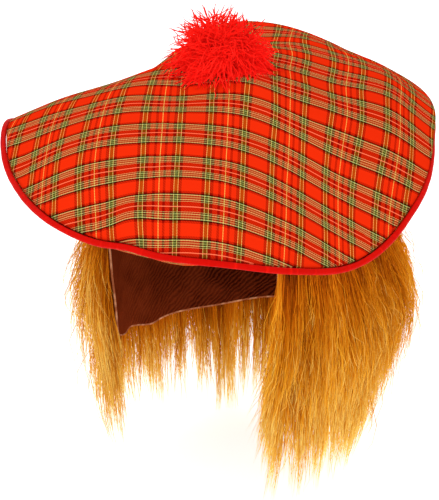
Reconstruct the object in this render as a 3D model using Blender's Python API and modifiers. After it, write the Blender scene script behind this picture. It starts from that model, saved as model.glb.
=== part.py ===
"""Tam o' shanter: a round tartan cap with piping, a pompom and an attached skirt of long hair.

Blender 4.5, metres, +Z up. The origin is the centre of the head opening, the face opening
looks along -Y, and an azimuth is measured from the front (-Y) towards the wearer's left (+X).
The cap's cloth, its hair and its pompom are soft, so every shell here is a draped surface.
"""
import math
import random
from collections import namedtuple

import bmesh
import bpy
from mathutils import Matrix, Vector

MM = 0.001

# Cloth and gaps
CLOTH = 1.5 * MM                # thickness of the tartan, doubled at its folds
SEAM_SPREAD = 1.2 * MM          # each of the two tartan pieces stands this far off the rim's middle
GAP = 0.3 * MM                  # clearance between pieces that touch
MERGE = 0.01 * MM               # points closer than this are one
FLAT_ANGLE = 0.3                # degrees: faces that turn less than this are one

# Crown: a flat-cut round of tartan, draped over the head
CROWN_RADIUS = 160 * MM         # of the round as it is cut, from its middle to its seam
CROWN_SHIFT = Vector((-13 * MM, -10 * MM, 0))   # it hangs off centre, to the right and forward
APEX_HEIGHT = 96 * MM           # over the head opening
RIM_SECTORS = 44
CROWN_RINGS = 11
PLAN_STEPS = 16                 # steps that add up how far the cloth reaches in plan
PLAN_LEAST = 0.35               # of a step's cloth, where the crown is steepest

# How far the crown has dropped below its top at four lengths of cloth from its middle, in mm,
# and how far the rim is from the middle in plan
CrownRow = namedtuple("CrownRow", "azimuth rim_radius drop_40 drop_80 drop_120 drop_160")
CROWN_ROWS = (
    CrownRow(0, 165, 7, 12, 26, 52),
    CrownRow(30, 172, 5, 16, 30, 54),
    CrownRow(60, 159, 3, 24, 51, 77),
    CrownRow(90, 144, 6, 21, 43, 69),
    CrownRow(120, 141, 9, 23, 36, 63),
    CrownRow(150, 159, 8, 20, 36, 62),
    CrownRow(180, 150, 9, 11, 31, 55),
    CrownRow(210, 142, 5, 16, 44, 72),
    CrownRow(240, 141, 10, 37, 61, 81),
    CrownRow(270, 142, 15, 37, 58, 81),
    CrownRow(300, 137, 9, 22, 34, 50),
    CrownRow(330, 146, 6, 14, 29, 52),
)

# Local dents (depth above 0) and humps (below 0) of the crown, in degrees and mm
Dent = namedtuple("Dent", "azimuth spread cloth reach depth")
CROWN_DENTS = (
    Dent(12, 4.5, 147, 15, -5.0),
    Dent(49, 7.0, 140, 26, -1.5),
    Dent(262, 11.0, 96, 34, 4.0),
    Dent(228, 8.0, 120, 30, -4.0),
    Dent(160, 7.0, 128, 24, 3.5),
)

# Head opening and the tartan's underside
HEAD_HALF_WIDTH = 90 * MM
HEAD_HALF_LENGTH = 97 * MM
BRIM_RINGS = 5
BRIM_SAG = 5 * MM
BRIM_RIPPLE = 1.6 * MM          # gathers where the underside is eased into the head opening
BRIM_RIPPLES = 12

# Rim piping
PIPING_RADIUS = 2.0 * MM
PIPING_OUTSET = 2.6 * MM        # of its middle from the edge of the tartan

# Hair backing: a fleece strip round the sides and back of the head, open at the face
BACKING = 3.0 * MM
BACKING_TOP = 2.4 * MM          # below the head opening
BACKING_FROM = 46.0             # azimuth of one cut end; the other is as far on the other side
BACKING_TURN = 360.0 - 2 * BACKING_FROM
BACKING_SECTORS = 30
BACKING_STATIONS = (0.0, 0.07, 0.3, 0.55, 0.8, 1.0)     # of its length, from the top
BACKING_CORNER = 20 * MM        # radius of the rounded lower corners
STRIP_BOW = 1.4                 # power of the depth by which it leans in
STRIP_LEAN_END = 1.15           # of its length: below this depth the hair hangs straight
StripRow = namedtuple("StripRow", "azimuth length lean")
STRIP_ROWS = (
    StripRow(46, 110, 10),
    StripRow(90, 120, 14),
    StripRow(135, 126, 18),
    StripRow(180, 130, 22),
    StripRow(225, 138, 22),
    StripRow(265, 136, 15),
    StripRow(290, 124, 9),
    StripRow(314, 109, 6),
)

# Hair: a thin pile on the backing, with thick tapered locks in tiers
PILE = 3.0 * MM                 # it starts at the backing's second station, clear of the tartan
PILE_MIDDLE = BACKING / 2 + GAP + PILE / 2      # from the middle of the backing
LOCK_BED = BACKING / 2 + GAP + 0.8 * PILE       # no lock sinks deeper into the pile than this
HEM_CLEAR = 30 * MM             # the locks stay outside the backing's line this far below its hem
LOCK_INSET = 7.0                # degrees between the backing's end and the first lock's middle
LOCK_DROP = 6 * MM              # of a lock's root below its tier
LOCK_DRIFT = 7.0                # degrees that a tip may wander sideways
LOCK_LENGTHS = (0.9, 1.12)      # spread of the locks of a tier about its length
LOCK_SWELLS = (0.85, 1.15)      # and about how far it stands proud
LOCK_FLATNESS = 0.42            # of a lock's depth to its width
LOCK_SIDES = 5
LockTier = namedtuple("LockTier", "root length count proud width")
LOCK_TIERS = (
    LockTier(0.16, 92, 13, 17, 20),
    LockTier(0.46, 96, 14, 15, 19),
    LockTier(0.76, 104, 13, 9, 19),
)
# How proud and how wide a lock is along its length, as shares
LockStation = namedtuple("LockStation", "along swell body")
LOCK_STATIONS = (
    LockStation(0.0, 0.0, 0.65),
    LockStation(0.22, 0.46, 0.93),
    LockStation(0.5, 0.92, 0.98),
    LockStation(0.78, 0.74, 0.72),
    LockStation(1.0, 0.25, 0.0),
)

# What the hair adds to its tiers round the head, in mm
HairRow = namedtuple("HairRow", "azimuth longer prouder")
HAIR_ROWS = (
    HairRow(46, 0, 5),
    HairRow(80, -2, 12),
    HairRow(120, 2, 16),
    HairRow(180, 6, 6),
    HairRow(240, 8, 5),
    HairRow(265, 8, 6),
    HairRow(290, -14, 8),
    HairRow(314, -28, 7),
)

# Pompom: a flat round core with radiating tufts
POM_SHIFT = Vector((10 * MM, -7 * MM, 5 * MM))  # of its middle from the crown's top
POM_RADIUS = 37 * MM
POM_HALF_HEIGHT = 25 * MM
POM_CORE = 0.66                 # of the whole pompom
POM_CLEAR = 1.0 * MM            # of its lowest points over the cloth
PomTier = namedtuple("PomTier", "climb count reach")
POM_TIERS = (
    PomTier(-14, 10, 1.0),
    PomTier(16, 9, 1.02),
    PomTier(46, 6, 1.0),
    PomTier(74, 3, 0.98),
)
TUFT_SIDES = 5
TUFT_DROOP = 2.5 * MM
TUFT_DEPTH = 0.8                # of a tuft's width
TUFT_REACHES = (0.9, 1.08)
TUFT_TURN = 9.0                 # degrees that a tuft may stray round the pompom
TUFT_CLIMB = 5.0                # and up or down it
TuftStation = namedtuple("TuftStation", "along width")
TUFT_STATIONS = (
    TuftStation(0.3, 6.0),
    TuftStation(0.62, 7.5),
    TuftStation(0.88, 5.5),
    TuftStation(1.0, 0.0),
)

# Material of each piece: its colour in the light and its roughness
Finish = namedtuple("Finish", "material colour roughness")
FINISHES = {
    "crown": Finish("tartan_crown", (0.62, 0.06, 0.03), 0.9),
    "under_brim": Finish("tartan_underside", (0.5, 0.05, 0.03), 0.9),
    "rim_piping": Finish("satin_piping", (0.72, 0.02, 0.01), 0.45),
    "hair_backing": Finish("fleece_backing", (0.10, 0.03, 0.02), 0.95),
    "hair": Finish("ginger_hair", (0.55, 0.25, 0.07), 0.7),
    "pompom": Finish("yarn", (0.75, 0.03, 0.02), 0.85),
}


def smooth_rows(rows, azimuth, column):
    """Read a column of a closed table at any azimuth, as a smooth closed curve."""
    step = 360.0 / len(rows)
    place = (azimuth % 360.0) / step
    first = int(math.floor(place))
    t = place - first
    p0, p1, p2, p3 = (getattr(rows[(first + k) % len(rows)], column) for k in (-1, 0, 1, 2))
    return 0.5 * (2 * p1 + (p2 - p0) * t + (2 * p0 - 5 * p1 + 4 * p2 - p3) * t * t
                  + (3 * p1 - p0 - 3 * p2 + p3) * t ** 3)


def open_rows(rows, azimuth, column):
    """Read a column of an open table between its rows, with smooth steps."""
    azimuth = min(max(azimuth, rows[0].azimuth), rows[-1].azimuth)
    for before, after in zip(rows, rows[1:]):
        if azimuth <= after.azimuth:
            t = (azimuth - before.azimuth) / (after.azimuth - before.azimuth)
            t = t * t * (3 - 2 * t)
            return getattr(before, column) * (1 - t) + getattr(after, column) * t
    return getattr(rows[-1], column)


def azimuth_of(point):
    """Azimuth of a point about the vertical through the origin, 0 to 360 degrees."""
    return math.degrees(math.atan2(point.x, -point.y)) % 360.0


def azimuth_gap(one, other):
    """Smallest angle between two azimuths, in degrees."""
    return abs((one - other + 180.0) % 360.0 - 180.0)


def crown_drop(azimuth, cloth):
    """Drop of the crown in metres at a length of cloth from its middle."""
    knots = [0.0] + [smooth_rows(CROWN_ROWS, azimuth, name)
                     for name in ("drop_40", "drop_80", "drop_120", "drop_160")]
    slopes = [0.0]
    slopes += [(after - before) / 2 for before, after in zip(knots, knots[2:])]
    slopes.append(knots[4] - knots[3])
    place = min(cloth / (CROWN_RADIUS / 4), 3.9999)
    k = int(place)
    t = place - k
    drop = ((1 + 2 * t) * (1 - t) ** 2 * knots[k] + t * (1 - t) ** 2 * slopes[k]
            + t * t * (3 - 2 * t) * knots[k + 1] + t * t * (t - 1) * slopes[k + 1])
    for dent in CROWN_DENTS:
        across = azimuth_gap(azimuth, dent.azimuth) / dent.spread
        along = (cloth / MM - dent.cloth) / dent.reach
        drop += dent.depth * math.exp(-across * across - along * along)
    return drop * MM


def crown_plan_radius(azimuth, cloth):
    """Distance from the crown's middle in plan: the cloth keeps its length as it drops."""
    reach = []
    total = 0.0
    ds = CROWN_RADIUS / PLAN_STEPS
    for k in range(PLAN_STEPS):
        dz = crown_drop(azimuth, (k + 1) * ds) - crown_drop(azimuth, k * ds)
        total += math.sqrt(max(ds * ds - dz * dz, (PLAN_LEAST * ds) ** 2))
        reach.append(total)
    scale = smooth_rows(CROWN_ROWS, azimuth, "rim_radius") * MM / total
    place = cloth / ds
    k = min(int(place), PLAN_STEPS - 1)
    before = reach[k - 1] if k else 0.0
    return scale * (before + (reach[k] - before) * (place - k))


def around(azimuth, radius_x, radius_y=None):
    """Plan direction of an azimuth on a circle or an ellipse."""
    angle = math.radians(azimuth)
    return Vector((radius_x * math.sin(angle), -(radius_y or radius_x) * math.cos(angle), 0))


def crown_point(azimuth, cloth):
    """Middle of the crown's cloth."""
    point = CROWN_SHIFT + around(azimuth, crown_plan_radius(azimuth, cloth))
    point.z = APEX_HEIGHT - crown_drop(azimuth, cloth)
    return point


def crown_sheet(azimuth, cloth):
    """The crown is lifted off the seam's middle."""
    return crown_point(azimuth, cloth) + Vector((0, 0, SEAM_SPREAD))


def head_ring(azimuth, outset=0.0):
    """A point of the head opening, or of a ring parallel to it."""
    return around(azimuth, HEAD_HALF_WIDTH + outset, HEAD_HALF_LENGTH + outset)


def brim_sheet(azimuth, t):
    """The underside, from the rim (t = 0) to the head opening (t = 1)."""
    rim = crown_point(azimuth, CROWN_RADIUS)
    point = rim.lerp(head_ring(azimuth), t)
    arch = 4 * t * (1 - t)
    ripple = BRIM_RIPPLE * math.cos(math.radians(azimuth) * BRIM_RIPPLES) * arch
    point.z += ripple - BRIM_SAG * arch - SEAM_SPREAD * (1 - t)
    return point


def strip_length(azimuth):
    """Length of the backing below the head opening, with its two lower corners rounded."""
    end = min(azimuth - BACKING_FROM, 360.0 - BACKING_FROM - azimuth)
    from_end = math.radians(max(end, 0.0)) * HEAD_HALF_LENGTH
    length = open_rows(STRIP_ROWS, azimuth, "length") * MM
    if from_end < BACKING_CORNER:
        over = BACKING_CORNER - from_end
        length -= BACKING_CORNER - math.sqrt(BACKING_CORNER ** 2 - over * over)
    return length


def strip_point(azimuth, depth, outset=0.0):
    """A point of the hanging strip, or of its line carried on below its hem."""
    length = open_rows(STRIP_ROWS, azimuth, "length") * MM
    lean = open_rows(STRIP_ROWS, azimuth, "lean") * MM
    t = min(max(depth, 0.0) / length, STRIP_LEAN_END)
    point = head_ring(azimuth, outset - lean * t ** STRIP_BOW)
    point.z = -depth
    return point


def strip_sheet(azimuth, t, outset=0.0):
    """A sheet that follows the strip at a distance, from its top (t = 0) to its hem (t = 1)."""
    depth = BACKING_TOP + (strip_length(azimuth) - BACKING_TOP) * t
    return strip_point(azimuth, depth, outset)


def new_object(name, data, collection):
    """A named object of the model with its own material."""
    finish = FINISHES[name]
    material = bpy.data.materials.new(finish.material)
    material.use_nodes = True
    shader = material.node_tree.nodes["Principled BSDF"]
    shader.inputs["Base Color"].default_value = (*finish.colour, 1.0)
    shader.inputs["Roughness"].default_value = finish.roughness
    shader.inputs["Metallic"].default_value = 0.0
    material.diffuse_color = (*finish.colour, 1.0)
    data.materials.append(material)
    obj = bpy.data.objects.new(name, data)
    collection.objects.link(obj)
    return obj


def new_mesh(name, work):
    """Turn modelling work into a smooth-shaded mesh."""
    mesh = bpy.data.meshes.new(name)
    work.to_mesh(mesh)
    work.free()
    mesh.shade_smooth()
    return mesh


def spun_sheet(name, stations, sectors, place, start=0.0, turn=360.0):
    """Spin a row of stations into a polar sheet, then put each point where place() says."""
    work = bmesh.new()
    row = [work.verts.new((0, -(1 + k), 0)) for k in range(len(stations))]
    edges = [work.edges.new(pair) for pair in zip(row, row[1:])]
    bmesh.ops.rotate(work, verts=row, cent=(0, 0, 0),
                     matrix=Matrix.Rotation(math.radians(start), 3, "Z"))
    bmesh.ops.spin(work, geom=row + edges, cent=(0, 0, 0), axis=(0, 0, 1),
                   angle=math.radians(turn), steps=sectors, use_duplicate=False)
    bmesh.ops.remove_doubles(work, verts=work.verts, dist=0.0001)
    for vert in work.verts:
        station = int(round(vert.co.length)) - 1
        azimuth = azimuth_of(vert.co)
        if turn < 360.0 and azimuth < start - 0.01:
            azimuth += 360.0
        vert.co = place(azimuth, stations[station])
    bmesh.ops.remove_doubles(work, verts=work.verts, dist=0.0001)
    bmesh.ops.recalc_face_normals(work, faces=work.faces)
    return new_mesh(name, work)


def thicken(obj, thickness):
    """Give an open sheet its thickness about its middle."""
    solidify = obj.modifiers.new("Thickness", "SOLIDIFY")
    solidify.thickness = thickness
    solidify.offset = 0.0
    solidify.use_even_offset = True


def build_crown(collection):
    stations = [CROWN_RADIUS * k / CROWN_RINGS for k in range(CROWN_RINGS + 1)]
    mesh = spun_sheet("crown", stations, RIM_SECTORS, crown_sheet)
    thicken(new_object("crown", mesh, collection), CLOTH)


def build_under_brim(collection):
    stations = [k / BRIM_RINGS for k in range(BRIM_RINGS + 1)]
    mesh = spun_sheet("under_brim", stations, RIM_SECTORS, brim_sheet)
    thicken(new_object("under_brim", mesh, collection), CLOTH)


def build_piping(collection):
    curve = bpy.data.curves.new("rim_piping", "CURVE")
    curve.dimensions = "3D"
    curve.bevel_depth = PIPING_RADIUS
    curve.bevel_resolution = 2
    spline = curve.splines.new("POLY")
    spline.points.add(RIM_SECTORS - 1)
    spline.use_cyclic_u = True
    for k, point in enumerate(spline.points):
        azimuth = 360.0 * k / RIM_SECTORS
        place = crown_point(azimuth, CROWN_RADIUS) + around(azimuth, PIPING_OUTSET)
        point.co = (*place, 1.0)
    new_object("rim_piping", curve, collection)


def build_backing(collection):
    mesh = spun_sheet("hair_backing", BACKING_STATIONS, BACKING_SECTORS, strip_sheet,
                      BACKING_FROM, BACKING_TURN)
    thicken(new_object("hair_backing", mesh, collection), BACKING)


def tapered_lock(name, path, widths, depths, sides):
    """A closed lock along a path: rings of a flattened section, drawn in to a point at its tip."""
    work = bmesh.new()
    rings = []
    for k, centre in enumerate(path[:-1]):
        ahead = path[k + 1] - path[max(k - 1, 0)]
        ahead.normalize()
        outward = Vector((centre.x, centre.y, 0)).normalized()
        across = ahead.cross(outward).normalized()
        outward = across.cross(ahead).normalized()
        circle = bmesh.ops.create_circle(work, cap_ends=False, segments=sides, radius=1.0)["verts"]
        for vert in circle:
            vert.co = centre + across * vert.co.x * widths[k] + outward * vert.co.y * depths[k]
        rings.append(circle)
    for before, after in zip(rings, rings[1:]):
        loops = [edge for edge in work.edges
                 if all(v in before for v in edge.verts) or all(v in after for v in edge.verts)]
        bmesh.ops.bridge_loops(work, edges=loops)
    first_edges = [edge for edge in work.edges if all(v in rings[0] for v in edge.verts)]
    last_edges = [edge for edge in work.edges if all(v in rings[-1] for v in edge.verts)]
    bmesh.ops.contextual_create(work, geom=first_edges)
    tip = work.verts.new(path[-1])
    for edge in last_edges:
        work.faces.new((*edge.verts, tip))
    bmesh.ops.triangulate(work, faces=work.faces)
    bmesh.ops.recalc_face_normals(work, faces=work.faces)
    return new_mesh(name, work)


def applied_mesh(obj):
    """The object's mesh with its modifiers applied."""
    depsgraph = bpy.context.evaluated_depsgraph_get()
    return bpy.data.meshes.new_from_object(obj.evaluated_get(depsgraph))


def fuse(obj, mesh, helpers):
    """Union one more closed form into an object's mesh."""
    other = bpy.data.objects.new("lock", mesh)
    helpers.objects.link(other)
    union = obj.modifiers.new("Fuse", "BOOLEAN")
    union.operation = "UNION"
    union.solver = "EXACT"
    union.object = other
    fused = applied_mesh(obj)
    obj.modifiers.remove(union)
    obj.data = fused
    bpy.data.objects.remove(other)


def tidy(obj):
    """Join the flat pieces that the unions leave, clear their slivers and triangulate."""
    work = bmesh.new()
    work.from_mesh(obj.data)
    bmesh.ops.remove_doubles(work, verts=work.verts, dist=MERGE)
    bmesh.ops.dissolve_limit(work, angle_limit=math.radians(FLAT_ANGLE), verts=work.verts,
                             edges=work.edges)
    bmesh.ops.dissolve_degenerate(work, edges=work.edges, dist=MERGE)
    bmesh.ops.triangulate(work, faces=work.faces)
    bmesh.ops.recalc_face_normals(work, faces=work.faces)
    work.to_mesh(obj.data)
    work.free()


def pile_sheet(azimuth, t):
    return strip_sheet(azimuth, t, PILE_MIDDLE)


def build_hair(collection, helpers):
    chance = random.Random(7)
    mesh = spun_sheet("hair", BACKING_STATIONS[1:], BACKING_SECTORS, pile_sheet,
                      BACKING_FROM, BACKING_TURN)
    hair = new_object("hair", mesh, collection)
    thicken(hair, PILE)
    base = applied_mesh(hair)
    hair.modifiers.clear()
    hair.data = base
    tidy(hair)
    for tier in LOCK_TIERS:
        step = (BACKING_TURN - 2 * LOCK_INSET) / (tier.count - 1)
        for k in range(tier.count):
            fuse(hair, lock_mesh(tier, BACKING_FROM + LOCK_INSET + step * k, chance), helpers)
    tidy(hair)


def lock_mesh(tier, azimuth, chance):
    """One lock of a tier: it bulges out from the pile, then falls and draws in to its tip."""
    length = tier.length * chance.uniform(*LOCK_LENGTHS) + open_rows(HAIR_ROWS, azimuth, "longer")
    drift = chance.uniform(-LOCK_DRIFT, LOCK_DRIFT)
    proud = tier.proud + open_rows(HAIR_ROWS, azimuth, "prouder")
    proud *= MM * chance.uniform(*LOCK_SWELLS)
    root = strip_length(azimuth) * tier.root + LOCK_DROP
    path = []
    for station in LOCK_STATIONS:
        depth = root + length * MM * station.along
        turned = azimuth + drift * station.along ** 2
        path.append(strip_point(turned, depth, PILE_MIDDLE + proud * station.swell))
    widths = [tier.width * MM * station.body for station in LOCK_STATIONS]
    depths = [LOCK_FLATNESS * width for width in widths]
    mesh = tapered_lock("lock", path, widths, depths, LOCK_SIDES)
    for vert in mesh.vertices:
        keep_off_backing(vert)
    return mesh


def keep_off_backing(vert):
    """Push a point of a lock out of the backing and of its line just below its hem."""
    azimuth = azimuth_of(vert.co)
    wall = strip_point(azimuth, -vert.co.z, LOCK_BED)
    near = math.hypot(vert.co.x, vert.co.y)
    far = math.hypot(wall.x, wall.y)
    if -vert.co.z < strip_length(azimuth) + HEM_CLEAR and near < far:
        vert.co.x *= far / near
        vert.co.y *= far / near


def build_pompom(collection, helpers):
    chance = random.Random(7)
    centre = crown_sheet(0, 0) + POM_SHIFT
    work = bmesh.new()
    bmesh.ops.create_icosphere(work, subdivisions=2, radius=POM_CORE)
    size = Matrix.Diagonal((POM_RADIUS, POM_RADIUS, POM_HALF_HEIGHT))
    bmesh.ops.transform(work, matrix=Matrix.Translation(centre) @ size.to_4x4(), verts=work.verts)
    for vert in work.verts:
        rest_on_crown(vert)
    pompom = new_object("pompom", new_mesh("pompom", work), collection)
    for tier in POM_TIERS:
        stagger = 0.5 if tier.climb > 0 else 0.0
        for k in range(tier.count):
            azimuth = 360.0 * (k + stagger) / tier.count + chance.uniform(-TUFT_TURN, TUFT_TURN)
            climb = tier.climb + chance.uniform(-TUFT_CLIMB, TUFT_CLIMB)
            reach = tier.reach * chance.uniform(*TUFT_REACHES)
            fuse(pompom, tuft_mesh(centre, azimuth, climb, reach), helpers)
    tidy(pompom)


def tuft_mesh(centre, azimuth, climb, reach):
    """One tuft of the pompom: it leaves the core, thickens and droops to a blunt tip."""
    angle = math.radians(climb)
    flat = around(azimuth, math.cos(angle) * POM_RADIUS * reach)
    rise = math.sin(angle) * POM_HALF_HEIGHT * reach
    path = []
    for station in TUFT_STATIONS:
        height = rise * station.along - TUFT_DROOP * station.along ** 2
        path.append(centre + flat * station.along + Vector((0, 0, height)))
    widths = [station.width * MM for station in TUFT_STATIONS]
    depths = [TUFT_DEPTH * width for width in widths]
    mesh = tapered_lock("tuft", path, widths, depths, TUFT_SIDES)
    for vert in mesh.vertices:
        rest_on_crown(vert)
    return mesh


def rest_on_crown(vert):
    """Lift a point of the pompom clear of the crown's cloth."""
    spot = vert.co - CROWN_SHIFT
    azimuth = azimuth_of(spot)
    away = max(math.hypot(spot.x, spot.y), MM)
    cloth = away
    for _ in range(3):
        cloth *= away / crown_plan_radius(azimuth, cloth)
    cloth_top = APEX_HEIGHT - crown_drop(azimuth, cloth) + SEAM_SPREAD + CLOTH / 2
    vert.co.z = max(vert.co.z, cloth_top + POM_CLEAR)


def main():
    for obj in list(bpy.data.objects):
        bpy.data.objects.remove(obj)
    collection = bpy.data.collections.new("tam_o_shanter")
    helpers = bpy.data.collections.new("helpers")
    bpy.context.scene.collection.children.link(collection)
    bpy.context.scene.collection.children.link(helpers)
    build_crown(collection)
    build_under_brim(collection)
    build_piping(collection)
    build_backing(collection)
    build_hair(collection, helpers)
    build_pompom(collection, helpers)


if __name__ == "__main__":
    main()
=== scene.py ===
"""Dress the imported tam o' shanter: woven tartan, satin piping, knitted backing, long hair and yarn.

The frame's own directions hold: the origin is the middle of the head opening, the face opening
looks along -Y, and an azimuth is measured from the front towards the wearer's left (+X).
Lengths are in metres unless a name or a table says mm.
"""
import math
from collections import namedtuple

import bmesh
import bpy
import numpy as np
from bpy.props import FloatProperty, FloatVectorProperty, IntProperty, PointerProperty
from mathutils import Matrix, Vector, noise


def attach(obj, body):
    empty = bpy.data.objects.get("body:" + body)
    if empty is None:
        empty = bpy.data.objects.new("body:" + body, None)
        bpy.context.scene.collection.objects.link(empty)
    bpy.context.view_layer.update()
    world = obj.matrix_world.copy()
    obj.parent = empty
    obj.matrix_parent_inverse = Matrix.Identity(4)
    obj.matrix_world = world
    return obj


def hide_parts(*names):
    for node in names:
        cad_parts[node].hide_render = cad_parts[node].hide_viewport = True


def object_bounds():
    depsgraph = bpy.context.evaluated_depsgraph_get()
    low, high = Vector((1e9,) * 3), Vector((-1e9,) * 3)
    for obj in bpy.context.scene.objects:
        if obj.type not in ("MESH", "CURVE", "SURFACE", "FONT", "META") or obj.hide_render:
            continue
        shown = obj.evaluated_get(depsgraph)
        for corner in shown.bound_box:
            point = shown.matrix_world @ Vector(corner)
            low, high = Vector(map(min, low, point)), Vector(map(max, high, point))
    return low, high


bl_info = {
    "name": "Tam o' Shanter",
    "version": (1, 0, 0),
    "blender": (4, 5, 0),
    "location": "3D View > Sidebar > Tam",
    "description": "Cloth, piping, hair and pompom for a tartan hat with attached hair",
    "category": "Object",
}

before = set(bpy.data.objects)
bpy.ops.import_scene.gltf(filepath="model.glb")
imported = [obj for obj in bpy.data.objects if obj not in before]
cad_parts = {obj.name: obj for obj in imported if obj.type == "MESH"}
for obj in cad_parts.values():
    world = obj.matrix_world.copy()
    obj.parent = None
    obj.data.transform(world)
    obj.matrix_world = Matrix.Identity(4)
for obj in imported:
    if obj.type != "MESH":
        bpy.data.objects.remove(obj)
CAD_LOW, CAD_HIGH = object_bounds()
BODY = "root"
MM = 0.001


def table(columns, *rows, defaults=()):
    """Rows of values under named columns."""
    row_type = namedtuple("Row", columns, defaults=defaults)
    return [row_type(*row) for row in rows]


# ---- the cap's own sizes
CROWN_RADIUS = 160 * MM  # of the round of tartan as it is cut
CROWN_SHIFT = Vector((-13 * MM, -10 * MM, 0))  # it hangs off centre, to the right and forward
APEX_HEIGHT = 96 * MM  # over the head opening
SEAM_SPREAD = 1.2 * MM  # the crown and the underside part this much at the rim
CLOTH = 1.5 * MM
CROWN_WAVER = 0.7 * MM  # small unevenness of the cloth and of its rim
RIM_SECTORS = 240
RIM_AZIMUTHS = np.arange(RIM_SECTORS) * 360.0 / RIM_SECTORS
CROWN_RINGS = 72
INTEGRAL_STEPS = 64
LEAST_REACH = 0.35  # of a step of cloth, however steeply it falls
CROWN_ROWS = table(
    "azimuth rim_radius drop_40 drop_80 drop_120 drop_160",
    (0, 165, 7, 12, 26, 52),
    (30, 172, 5, 16, 30, 54),
    (60, 159, 3, 24, 51, 77),
    (90, 144, 6, 21, 43, 69),
    (120, 141, 9, 23, 36, 63),
    (150, 159, 8, 20, 36, 62),
    (180, 150, 9, 11, 31, 55),
    (210, 142, 5, 16, 44, 72),
    (240, 141, 10, 37, 61, 81),
    (270, 142, 15, 37, 58, 81),
    (300, 137, 9, 22, 34, 50),
    (330, 146, 6, 14, 29, 52),
)
# Dents (depth above 0) and humps (below 0), in degrees and mm of cloth from the crown's middle
CROWN_DENTS = table(
    "azimuth spread cloth reach depth",
    (12, 4.5, 147, 15, -5.0),
    (49, 7.0, 140, 26, -1.5),
    (262, 11.0, 96, 34, 4.0),
    (228, 8.0, 120, 30, -4.0),
    (160, 7.0, 128, 24, 3.5),
)
# Turn of the tartan's grain on the crown, in degrees: the cloth shears a little as it drapes
GRAIN_ROWS = table(
    "azimuth turn",
    (0, 2), (30, 6), (60, 9), (90, -8), (120, -7), (150, 2),
    (180, 1), (210, 2), (240, 8), (270, 16), (300, 2), (330, -1),
)
GRAIN_AZIMUTH = 30.0
GRAIN_PASSES = 24  # the turn is read where it takes the grain to
CLOTH_SPAN = 340 * MM  # of cloth in one unit of its UV map

# Rim, underside and piping
NEAR_RIM = 0.86  # share of the crown's radius where its rim begins
PUCKER_RISE, PUCKER_FALL = 0.12, 0.02  # shares of the radius over which its pucker comes and goes
HEAD_HALF_WIDTH = 90 * MM
HEAD_HALF_LENGTH = 97 * MM
BRIM_RINGS = 24
BRIM_SAG = 5 * MM
BRIM_RIPPLE = 1.6 * MM
BRIM_RIPPLES = 12
BRIM_GATHER = 2 * MM
PIPING_OUTSET = 2.6 * MM
PIPING_SIDES = 14
PIPING_SPUN = 4.0  # distance from Z at which its circle is spun, before it is placed
RIM_LIP = 3.6 * MM  # how far the crown hangs over its piping at the left back
RIM_LIP_AZIMUTH = 150.0
RIM_LIP_SPREAD = 42.0
LIP_TUCK = 0.6 * MM  # the piping under the lip sits this much further in,
LIP_SINK = 1.8 * MM  # this much lower,
LIP_SLIM = 0.35  # and is thinner by this share
LUMP_LENGTH, LUMP_SHARE = 9 * MM, 0.10  # of the small lumps along it

# Hair backing
BACKING_TOP = 1.1 * MM
BACKING_FROM = 46.0
BACKING_TURN = 360.0 - 2 * BACKING_FROM
BACKING_CORNER = 20 * MM
BACKING_WAVER = 0.5 * MM
BACKING_COLUMNS = 150
BACKING_ROWS = 44
FRAYED = 0.009  # share of the strip's length that is frayed at its hem
RIB_WIDTH = 3.0 * MM
DEPTH_SPAN = 140 * MM  # of the backing's depth in one unit of its UV map
BACKING_SPAN = math.radians(BACKING_TURN) * HEAD_HALF_LENGTH  # and of its length
STRIP_BOW = 1.4
STRIP_LEAN_END = 1.15  # of its length: below this depth the hair hangs straight
STRIP_ROWS = table(
    "azimuth length lean",
    (46, 110, 10), (90, 120, 14), (135, 126, 18), (180, 130, 22),
    (225, 138, 22), (265, 136, 15), (290, 124, 9), (314, 109, 6),
)

# Hair round the head: the length of a fibre in mm, and its shares of the full stand and density
HAIR_ROWS = table(
    "azimuth length stand density",
    (46, 109, 0.62, 1.0), (80, 98, 0.88, 1.0), (120, 110, 1.04, 1.0), (180, 113, 0.75, 0.95),
    (240, 109, 0.70, 0.9), (265, 103, 0.72, 0.8), (290, 82, 0.88, 0.55), (314, 94, 0.80, 0.55),
)
# How far the outer hair stands off the backing, in mm, against the depth below the opening in mm
PILE_ROWS = table(
    "depth stand",
    (0, 12), (20, 17), (40, 23), (60, 30), (85, 36), (120, 34),
    (140, 31), (160, 27), (180, 20), (200, 12), (236, 5),
)
# Pieces of the hair between two azimuths
HAIR_PARTS = table(
    "name first last",
    ("left", 0, 92), ("back_left", 92, 138), ("back", 138, 180),
    ("back_right", 180, 226), ("right", 226, 268), ("front_right", 268, 361),
)
HAIR_STATIONS = 7
FIBRE_SIDES = 3
END_FAN = 16.0  # degrees from each end of the strip
END_FAN_TURN = 8.0  # degrees that the hair there swings over the face opening
END_FAN_LAST = 15.0  # and at the strip's last end
END_MARKS = 3  # marks of density at an end of the strip that get more hair
FIRST_MORE, LAST_MORE = 2.2, 1.2
HEM_SHARE = 0.12  # of the fibres that grow from the lowest part of the strip
LOCK_SHIFT = 2.2  # degrees that a lock strays sideways
LOCK_HOLD = 0.4, 0.8  # how closely a fibre keeps to its lock, least and most
PARTING = 53.0  # azimuth where the hair falls open and shows its depth; its hair is darker there, painted shade
PARTING_SPREAD = 5.0
LAST_SHADE_SPREAD = 9.0  # degrees of painted shade on the hair at the strip's last end, by its cut edge
THIN_FROM, THIN_SPREAD = 272.0, 25.0  # azimuths over which the hair grows thin
LOOSE, LOOSE_THIN = 0.18, 0.25  # share of loose fibres, and how many more where the hair is thin
LOOSE_STRAY, LOOSE_HOLD = 2.4, 0.3  # they stray further and keep less to their lock
LONGEST, LENGTH_RANGE, LENGTH_LIMIT = 1.14, 0.66, 1.02  # shares of the full length
WAVE_SIZES = np.array((1.5, 0.65)) * MM
WAVE_BEATS = np.array((5.2, 12.5))  # radians along a fibre
KINK = 0.25 * MM
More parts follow.
